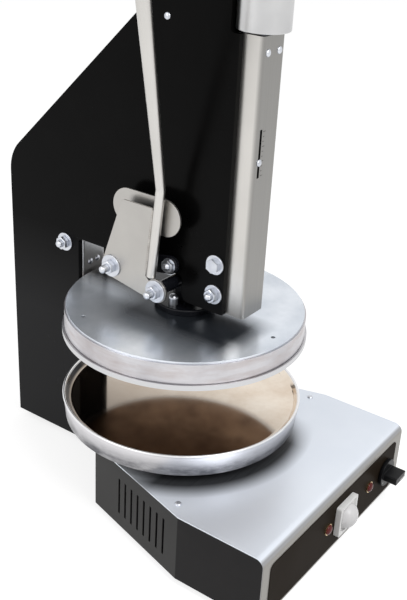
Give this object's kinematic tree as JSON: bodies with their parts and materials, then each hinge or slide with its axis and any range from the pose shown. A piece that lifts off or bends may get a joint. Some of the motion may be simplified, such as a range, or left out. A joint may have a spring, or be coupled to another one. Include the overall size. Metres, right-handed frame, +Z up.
{
  "type": "heated dough press",
  "caption": "Table-top press: a heated round plate on a sprung ram, pulled down by a bent lever and knee link over a round heated pan on a tapered stainless base.",
  "frame": {"origin": "on the underside of the base's floor plate, on the press axis", "axes": "+Z up along the press axis, -Y to the front with the controls, +X to the right seen from the front"},
  "size_m": [0.366, 0.5797, 0.8099],
  "materials": {
    "stainless": "brushed stainless sheet",
    "side_paint": "satin charcoal powder coat",
    "black_paint": "satin black powder coat",
    "dark_steel": "dark oiled steel",
    "rubber": "matte rubber",
    "pale_foot": "pale plastic",
    "label": "dark satin label",
    "zinc": "bright zinc plate",
    "black_plastic": "satin black plastic",
    "white_plastic": "white plastic",
    "clear_boot": "clear silicone",
    "red_lens": "red lens",
    "golden": "golden ring",
    "guide_bronze": "plain bronze",
    "pan_alloy": "bright brushed with brown patina inside",
    "upper_alloy": "brushed cast alloy",
    "disc_steel": "cloudy brushed sheet",
    "knob_alloy": "turned and brushed"
  },
  "bodies": {
    "base": {"base_cover": "stainless", "side_panel_left": "side_paint", "side_panel_right": "side_paint", "rear_panel": "side_paint", "bottom_plate": "dark_steel", "rubber_feet": "rubber", "column_foot": "pale_foot", "label_panel": "label", "cover_screws": "zinc", "thermostat_body": "dark_steel", "switch_bezel": "white_plastic", "switch_boot": "clear_boot", "switch_body": "dark_steel", "lamp_lenses": "red_lens", "lamp_bodies": "golden", "cable_gland": "rubber", "pan_pedestal": "dark_steel", "pan_bolts": "zinc", "lower_pan": "pan_alloy", "lower_element": "dark_steel", "frame_plate_left": "black_paint", "frame_plate_right": "black_paint", "frame_crossbars": "black_paint", "frame_spacers": "dark_steel", "frame_bolts": "zinc", "frame_washers": "zinc", "frame_nuts": "zinc", "top_screws": "zinc", "column_cover": "stainless", "front_cover": "black_paint", "rear_cover": "black_paint", "top_cover": "black_paint", "nose_cover": "stainless", "spindle_block": "dark_steel", "ram_guides": "guide_bronze"},
    "thermostat": {"thermostat_knob": "black_plastic", "thermostat_shaft": "zinc"},
    "button": {"switch_button": "white_plastic"},
    "adjuster": {"adjuster_knob": "knob_alloy", "adjuster_spindle": "zinc"},
    "stop": {"stop_nut": "dark_steel", "pointer_screw": "zinc"},
    "ram": {"ram_shaft": "dark_steel", "stop_arm": "dark_steel", "return_spring": "zinc", "hub_flange": "black_paint", "hub_bolts": "zinc", "top_disc": "disc_steel", "upper_housing": "upper_alloy", "press_plate": "upper_alloy", "upper_element": "dark_steel"},
    "link": {"toggle_link": "black_paint"},
    "lever": {"lever_bracket": "stainless", "lever_rod": "stainless", "lever_grip": "black_plastic", "lever_bolts": "zinc", "lever_bushes": "black_paint", "lever_washers": "zinc", "lever_nuts": "zinc"}
  },
  "joints": [
    {"name": "ram_slide", "type": "slide", "parent": "base", "child": "ram", "axis": [0, 0, -1], "range_m": [0, 0.095], "stiffness_N_per_m": 800, "springref_m": -0.2, "deforming": ["return_spring"]},
    {"name": "link_swing", "type": "hinge", "parent": "base", "child": "link", "pos_m": [0, 0, 0.344], "axis": [-1, 0, 0], "range_deg": [0, 44.1]},
    {"name": "lever_swing", "type": "hinge", "parent": "link", "child": "lever", "pos_m": [0, 0.07377, 0.3305], "axis": [1, 0, 0], "range_deg": [0, 88.2]},
    {"name": "adjuster_turn", "type": "hinge", "parent": "base", "child": "adjuster", "pos_m": [0, -0.09, 0.64], "axis": [0, 0, 1], "range_deg": [-1800, 1800]},
    {"name": "stop_travel", "type": "slide", "parent": "base", "child": "stop", "axis": [0, 0, 1], "range_m": [-0.0101, 0.0101]},
    {"name": "thermostat_turn", "type": "hinge", "parent": "base", "child": "thermostat", "pos_m": [0.137, -0.27, 0.0435], "axis": [0, 1, 0], "range_deg": [0, 270]},
    {"name": "button_press", "type": "slide", "parent": "base", "child": "button", "axis": [0, 1, 0], "range_m": [0, 0.003], "stiffness_N_per_m": 800, "springref_m": -0.003}
  ],
  "couplings": [
    {"joint": "link_swing", "follows": "ram_slide", "rad_per_m": 8.0934},
    {"joint": "lever_swing", "follows": "ram_slide", "rad_per_m": 16.187},
    {"joint": "stop_travel", "follows": "adjuster_turn", "m_per_rad": 0.0003183}
  ]
}
